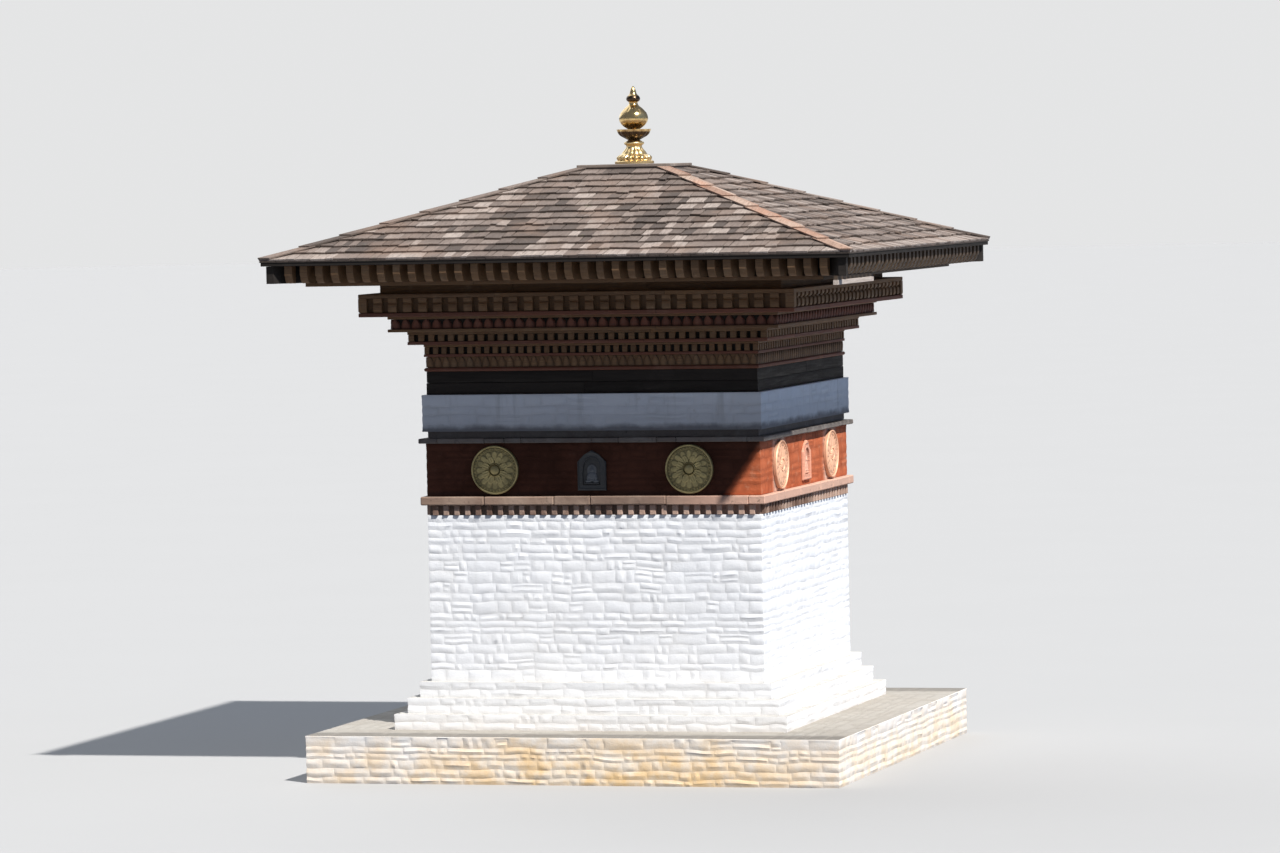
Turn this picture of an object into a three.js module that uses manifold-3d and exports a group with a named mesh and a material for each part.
// A square stupa of the Himalayan house type, at full size, in millimetres, +Z up.
// Origin: centre of the plinth's underside, at ground level. The front faces -Y.
//
// Whitewashed rubble masonry rises from a stepped plinth. A red band with gilded discs and a slate
// plaque on each side runs round it, and a plain white belt above that. A timber cornice steps out
// over the belt and carries eave joists and a low shingled pyramid roof with a gilded pinnacle.
import * as THREE from "three";
import { mergeVertices } from "three/addons/utils/BufferGeometryUtils.js";
import Module from "manifold-3d";

// Plan sizes are half-widths from the centre to a face, and levels are heights above the ground.
const PLINTH_HALF = 4100;
const PLINTH_TOP = 710;
const STEP_HALVES = [3050, 2890, 2740];
const STEP_RISE = 230;

const WALL_HALF = 2600;
const WALL_TOP = 3890;

const DENTIL_CORE_HALF = 2560;
const DENTIL_HALF = 2630;
const DENTIL_TOP = 4040;
const DENTIL_PITCH = 170;
const DENTIL_WIDTH = 85;
const DENTILS_PER_SIDE = 30;

const LOWER_LEDGE_HALF = 2680;
const LOWER_LEDGE_TOP = 4180;
const RED_BAND_TOP = 4970;
const UPPER_LEDGE_HALF = 2690;
const UPPER_LEDGE_TOP = 5050;

const BELT_NECK_HALF = 2570;
const BELT_NECK_TOP = 5150;
const BELT_HALF = 2640;
const BELT_TOP = 5700;

const CORE_HALF = 2400;
const FRIEZE_TOP = 6460;
const CORBELS = [
  { half: 2790, top: 6660 },
  { half: 3020, top: 6900 },
];
const CORNICE_BEAM_HALF = 3360;
const CORNICE_BEAM_TOP = 7240;
const CORNICE_BOARD_DEPTH = 60; // of the plain boards over and under the row of blocks
const CORNICE_BLOCK_RELIEF = 80;
const CORNICE_BLOCK_WIDTH = 130;
const CORNICE_BLOCKS_PER_SIDE = 27; // between the corner blocks
const WALL_PLATE_HALF = 3100;
const WALL_PLATE_TOP = 7380;

const SOFFIT_HALF = 3970;
const SOFFIT_TOP = 7440;
const EAVE_BEAM_HALF = 3900;
const JOIST_END_HALF = 4420;
const JOIST_TOP = 7700;
const JOIST_PITCH = 240;
const JOIST_WIDTH = 110;
const JOISTS_PER_SIDE = 35;
const HIP_JOIST_WIDTH = 160;

const EAVE_HALF = 4520;
const EAVE_TOP = 7800;
const EAVE_SEAT_HALF = 4200;
const ROOF_DEPTH = 130; // measured plumb
const CAP_HALF = 720;
const CAP_SEAT = 9050;
const CAP_TOP_HALF = 660;
const CAP_TOP = 9100;
const ROOF_INNER_HALF = 600;

const DISC_RADIUS = 370;
const DISC_OFFSET = 1510;
const DISC_LEVEL = 4570;
const PLAQUE_WIDTH = 440;
const PLAQUE_BOTTOM = 4255;
const PLAQUE_HEIGHT = 600;
const PLAQUE_SHOULDER = 430;
const PLAQUE_PEAK_RISE = 60; // of the middle over the haunches
const PLAQUE_THICKNESS = 45;

const ROUND_SIDES = 24;
const DISC_SIDES = 20;
const JOINT_GAP = 0.3; // between upright faces that meet
const MITRE_SET_BACK = 0.2; // each mitred end stands back this far from the diagonal

const SIDES = ["front", "right", "back", "left"]; // anticlockwise from -Y, seen from above

const wasm = await Module();
wasm.setup();

function paint(color, roughness, metalness = 0) {
  return () => new THREE.MeshStandardMaterial({ color, roughness, metalness });
}

const whitewash = paint(0xf0eef0, 0.9);
const redPlaster = paint(0x8a3a26, 0.8);
const ledgeStone = paint(0xb9a394, 0.85);
const slate = paint(0x3a3f45, 0.7);
const timber = paint(0x4a3426, 0.75);
const shingle = paint(0x96826f, 0.9);
const gilding = paint(0xd9a441, 0.3, 1);

function named(name, geometry, material, level = 0) {
  const mesh = new THREE.Mesh(geometry, material());
  mesh.name = name;
  mesh.position.z = level;
  return mesh;
}

// A square block between two levels, centred on the axis.
function courseGeometry(half, bottom, top) {
  return new THREE.BoxGeometry(2 * half, 2 * half, top - bottom).translate(0, 0, (bottom + top) / 2);
}

function shapeOf(points) {
  return new THREE.Shape(points.map(([x, y]) => new THREE.Vector2(x, y)));
}

// An upright solid on a plan outline, between two levels.
function uprightGeometry(outline, bottom, top) {
  const options = { depth: top - bottom, bevelEnabled: false };
  return new THREE.ExtrudeGeometry(shapeOf(outline), options).translate(0, 0, bottom);
}

// One side's length of a moulding that runs round the building, with mitred ends. The profile
// holds [reach, level] points, where reach is the distance from the axis to the front.
function mitredGeometry(profile) {
  const geometry = new THREE.ExtrudeGeometry(shapeOf(profile), { depth: 2, bevelEnabled: false });
  const position = geometry.getAttribute("position");
  for (let i = 0; i < position.count; i++) {
    const reach = position.getX(i);
    const level = position.getY(i);
    const end = 1 - position.getZ(i);
    position.setXYZ(i, end * (reach - MITRE_SET_BACK), -reach, level);
  }
  return geometry;
}

function turnedGeometry(profile, sides) {
  const points = profile.map(([radius, level]) => new THREE.Vector2(radius, level));
  return new THREE.LatheGeometry(points, sides).rotateX(Math.PI / 2);
}

function solidOf(geometry) {
  const bare = geometry.index ? geometry.toNonIndexed() : geometry.clone();
  bare.deleteAttribute("normal");
  bare.deleteAttribute("uv");
  const merged = mergeVertices(bare, 1e-3);
  return new wasm.Manifold(
    new wasm.Mesh({
      numProp: 3,
      vertProperties: merged.getAttribute("position").array,
      triVerts: new Uint32Array(merged.index.array),
    }),
  );
}

function joinedGeometry(first, second) {
  const mesh = solidOf(first).add(solidOf(second)).getMesh();
  const geometry = new THREE.BufferGeometry();
  geometry.setAttribute("position", new THREE.BufferAttribute(new Float32Array(mesh.vertProperties), 3));
  geometry.setIndex(new THREE.BufferAttribute(new Uint32Array(mesh.triVerts), 1));
  return geometry;
}

// The four groups hold what repeats on each side, made once for the front and turned about Z.
function onEachSide(makeMeshes) {
  return SIDES.map((side, turn) => {
    const group = new THREE.Group();
    group.rotation.z = (turn * Math.PI) / 2;
    group.add(...makeMeshes(side));
    return group;
  });
}

function centredRow(count, pitch) {
  return Array.from({ length: count }, (_, i) => (i - (count - 1) / 2) * pitch);
}

// Masonry, from the ground to the red band
function makeLowerMasonry() {
  const plinth = named("plinth", courseGeometry(PLINTH_HALF, 0, PLINTH_TOP), whitewash);
  const stepNames = ["base_step_lower", "base_step_middle", "base_step_upper"];
  const steps = STEP_HALVES.map((half, i) => {
    const bottom = PLINTH_TOP + i * STEP_RISE;
    return named(stepNames[i], courseGeometry(half, bottom, bottom + STEP_RISE), whitewash);
  });
  const wallBottom = PLINTH_TOP + STEP_HALVES.length * STEP_RISE;
  const wall = named("body_wall", courseGeometry(WALL_HALF, wallBottom, WALL_TOP), whitewash);
  return [plinth, ...steps, wall];
}

// A course of joist ends that stand out like teeth all round
function makeDentilCourse() {
  const outline = [];
  const teeth = centredRow(DENTILS_PER_SIDE, DENTIL_PITCH);
  for (let turn = 0; turn < SIDES.length; turn++) {
    const corner = [-DENTIL_CORE_HALF, -DENTIL_CORE_HALF];
    const side = [corner];
    for (const centre of teeth) {
      const start = centre - DENTIL_WIDTH / 2;
      const end = centre + DENTIL_WIDTH / 2;
      side.push([start, -DENTIL_CORE_HALF], [start, -DENTIL_HALF]);
      side.push([end, -DENTIL_HALF], [end, -DENTIL_CORE_HALF]);
    }
    for (let [x, y] of side) {
      for (let i = 0; i < turn; i++) [x, y] = [-y, x];
      outline.push([x, y]);
    }
  }
  return named("dentil_course", uprightGeometry(outline, WALL_TOP, DENTIL_TOP), ledgeStone);
}

function makeUpperMasonry() {
  const lowerLedge = courseGeometry(LOWER_LEDGE_HALF, DENTIL_TOP, LOWER_LEDGE_TOP);
  const band = courseGeometry(WALL_HALF, LOWER_LEDGE_TOP, RED_BAND_TOP);
  const upperLedge = courseGeometry(UPPER_LEDGE_HALF, RED_BAND_TOP, UPPER_LEDGE_TOP);
  const beltNeck = courseGeometry(BELT_NECK_HALF, UPPER_LEDGE_TOP, BELT_NECK_TOP);
  const belt = courseGeometry(BELT_HALF, BELT_NECK_TOP, BELT_TOP);
  const core = courseGeometry(CORE_HALF - JOINT_GAP, BELT_TOP, WALL_PLATE_TOP);
  return [
    named("lower_ledge", lowerLedge, ledgeStone),
    named("red_band", band, redPlaster),
    named("upper_ledge", upperLedge, ledgeStone),
    named("belt_wall", joinedGeometry(beltNeck, belt), whitewash),
    named("masonry_core", core, whitewash),
  ];
}

// Gilded discs and a slate plaque, flat on the red band
const DISC_PROFILE = [
  [0, 0],
  [DISC_RADIUS, 0],
  [DISC_RADIUS, 45],
  [335, 60],
  [300, 40],
  [110, 40],
  [90, 65],
  [0, 75],
];

function makeDisc(name, x) {
  const geometry = turnedGeometry(DISC_PROFILE, DISC_SIDES).rotateX(Math.PI / 2);
  const disc = named(name, geometry, gilding, DISC_LEVEL);
  disc.position.x = x;
  disc.position.y = -(WALL_HALF + JOINT_GAP);
  return disc;
}

function makePlaque(name) {
  const half = PLAQUE_WIDTH / 2;
  const outline = [
    [-half, 0],
    [half, 0],
    [half, PLAQUE_SHOULDER],
    [half / 2, PLAQUE_HEIGHT - PLAQUE_PEAK_RISE],
    [0, PLAQUE_HEIGHT],
    [-half / 2, PLAQUE_HEIGHT - PLAQUE_PEAK_RISE],
    [-half, PLAQUE_SHOULDER],
  ];
  const options = { depth: PLAQUE_THICKNESS, bevelEnabled: false };
  const geometry = new THREE.ExtrudeGeometry(shapeOf(outline), options).rotateX(Math.PI / 2);
  const plaque = named(name, geometry, slate, PLAQUE_BOTTOM);
  plaque.position.y = -(WALL_HALF + JOINT_GAP);
  return plaque;
}

function makeBandOrnaments(side) {
  return [
    makeDisc(`disc_${side}_1`, -DISC_OFFSET),
    makePlaque(`plaque_${side}`),
    makeDisc(`disc_${side}_2`, DISC_OFFSET),
  ];
}

// Frieze boards that step out into two corbel courses
function makeFrieze(side) {
  const profile = [
    [CORE_HALF, BELT_TOP],
    [WALL_HALF, BELT_TOP],
    [WALL_HALF, FRIEZE_TOP],
  ];
  let level = FRIEZE_TOP;
  for (const { half, top } of CORBELS) {
    profile.push([half, level], [half, top]);
    level = top;
  }
  profile.push([CORE_HALF, level]);
  return named(`frieze_${side}`, mitredGeometry(profile), timber);
}

// The plan of one side of a timber course whose front is cut into teeth, between mitred ends.
// rootAt gives the reach of the gaps' backs at a place along the side, and the corner's own solid
// piece starts at cornerStart.
function toothedOutline({ tip, rootAt, cornerStart, centres, width }) {
  const right = [[tip - MITRE_SET_BACK, -tip], [cornerStart, -tip]];
  if (rootAt(cornerStart) < tip) right.push([cornerStart, -rootAt(cornerStart)]);
  const outline = [
    [CORE_HALF - MITRE_SET_BACK, -CORE_HALF],
    [-CORE_HALF + MITRE_SET_BACK, -CORE_HALF],
    ...right.map(([x, y]) => [-x, y]),
  ];
  for (const centre of centres) {
    const start = centre - width / 2;
    const end = centre + width / 2;
    outline.push([start, -rootAt(start)], [start, -tip]);
    outline.push([end, -tip], [end, -rootAt(end)]);
  }
  return [...outline, ...right.reverse()];
}

// The widest cornice beam, with a row of blocks between two boards, and the wall plate on it
function makeCorniceBeam(side) {
  const bottom = CORBELS[CORBELS.length - 1].top;
  const blocksBottom = bottom + CORNICE_BOARD_DEPTH;
  const blocksTop = CORNICE_BEAM_TOP - CORNICE_BOARD_DEPTH;
  const root = CORNICE_BEAM_HALF - CORNICE_BLOCK_RELIEF;
  const cornerCentre = CORNICE_BEAM_HALF - CORNICE_BLOCK_WIDTH / 2;
  const pitch = (2 * cornerCentre) / (CORNICE_BLOCKS_PER_SIDE + 1);
  const backing = mitredGeometry([
    [CORE_HALF, bottom],
    [CORNICE_BEAM_HALF, bottom],
    [CORNICE_BEAM_HALF, blocksBottom],
    [root, blocksBottom],
    [root, blocksTop],
    [CORNICE_BEAM_HALF, blocksTop],
    [CORNICE_BEAM_HALF, CORNICE_BEAM_TOP],
    [WALL_PLATE_HALF, CORNICE_BEAM_TOP],
    [WALL_PLATE_HALF, WALL_PLATE_TOP],
    [CORE_HALF, WALL_PLATE_TOP],
  ]);
  const blocks = toothedOutline({
    tip: CORNICE_BEAM_HALF,
    rootAt: () => root,
    cornerStart: CORNICE_BEAM_HALF - CORNICE_BLOCK_WIDTH,
    centres: centredRow(CORNICE_BLOCKS_PER_SIDE, pitch),
    width: CORNICE_BLOCK_WIDTH,
  });
  const geometry = joinedGeometry(backing, uprightGeometry(blocks, blocksBottom, blocksTop));
  return named(`cornice_beam_${side}`, geometry, timber);
}

// Eave joists on one side, with soffit boards below. Half of each hip joist lies along the mitre,
// and the short joists near the corner spring from it.
function makeEaveJoists(side) {
  const hipOffset = (HIP_JOIST_WIDTH / 2) * Math.SQRT2;
  const joists = toothedOutline({
    tip: JOIST_END_HALF,
    rootAt: (x) => Math.max(EAVE_BEAM_HALF, Math.abs(x) + hipOffset),
    cornerStart: JOIST_END_HALF - hipOffset,
    centres: centredRow(JOISTS_PER_SIDE, JOIST_PITCH),
    width: JOIST_WIDTH,
  });
  const soffit = mitredGeometry([
    [CORE_HALF, WALL_PLATE_TOP],
    [SOFFIT_HALF, WALL_PLATE_TOP],
    [SOFFIT_HALF, SOFFIT_TOP],
    [CORE_HALF, SOFFIT_TOP],
  ]);
  const geometry = joinedGeometry(uprightGeometry(joists, SOFFIT_TOP, JOIST_TOP), soffit);
  return named(`eave_joists_${side}`, geometry, timber);
}

// A sloping slab of boards and shingles with a level seat on the joists and one for the cap
function makeRoofSlope(side) {
  const fall = (CAP_SEAT - EAVE_TOP) / (EAVE_HALF - CAP_HALF);
  const underside = (reach) => EAVE_TOP - ROOF_DEPTH + fall * (EAVE_HALF - reach);
  const profile = [
    [EAVE_SEAT_HALF, JOIST_TOP],
    [EAVE_HALF, JOIST_TOP],
    [EAVE_HALF, EAVE_TOP],
    [CAP_HALF, CAP_SEAT],
    [ROOF_INNER_HALF, CAP_SEAT],
    [ROOF_INNER_HALF, underside(ROOF_INNER_HALF)],
    [EAVE_SEAT_HALF, underside(EAVE_SEAT_HALF)],
  ];
  return named(`roof_slope_${side}`, mitredGeometry(profile), shingle);
}

function makeApexCap() {
  const height = CAP_TOP - CAP_SEAT;
  const geometry = new THREE.CylinderGeometry(
    CAP_TOP_HALF * Math.SQRT2,
    CAP_HALF * Math.SQRT2,
    height,
    SIDES.length,
  );
  geometry.rotateY(Math.PI / 4).rotateX(Math.PI / 2);
  return named("apex_cap", geometry, shingle, CAP_SEAT + height / 2);
}

// The gilded pinnacle: lotus base, open dish and vase with a jewel, as [radius, level] profiles
const DISH_LEVEL = 365;
const VASE_LEVEL = 455;
const PINNACLE_PARTS = {
  pinnacle_base: [
    [0, 0],
    [300, 0],
    [300, 40],
    [250, 60],
    [265, 100],
    [200, 140],
    [150, 200],
    [120, 265],
    [150, 300],
    [150, 330],
    [90, DISH_LEVEL],
    [0, DISH_LEVEL],
  ],
  pinnacle_dish: [
    [0, DISH_LEVEL],
    [90, DISH_LEVEL],
    [160, 400],
    [235, 450],
    [265, 525],
    [245, 525],
    [200, 470],
    [110, VASE_LEVEL],
    [0, VASE_LEVEL],
  ],
  pinnacle_vase: [
    [0, VASE_LEVEL],
    [85, VASE_LEVEL],
    [70, 510],
    [125, 550],
    [195, 610],
    [222, 690],
    [200, 775],
    [130, 850],
    [75, 895],
    [65, 930],
    [100, 965],
    [105, 1005],
    [60, 1060],
    [50, 1100],
    [0, 1190],
  ],
};

function makePinnacle() {
  return Object.entries(PINNACLE_PARTS).map(([name, profile]) =>
    named(name, turnedGeometry(profile, ROUND_SIDES), gilding, CAP_TOP),
  );
}

const stupa = new THREE.Group();
stupa.add(...makeLowerMasonry());
stupa.add(makeDentilCourse());
stupa.add(...makeUpperMasonry());
stupa.add(...onEachSide(makeBandOrnaments));
stupa.add(...onEachSide((side) => [makeFrieze(side), makeCorniceBeam(side), makeEaveJoists(side)]));
stupa.add(...onEachSide((side) => [makeRoofSlope(side)]));
stupa.add(makeApexCap());
stupa.add(...makePinnacle());

export default stupa;
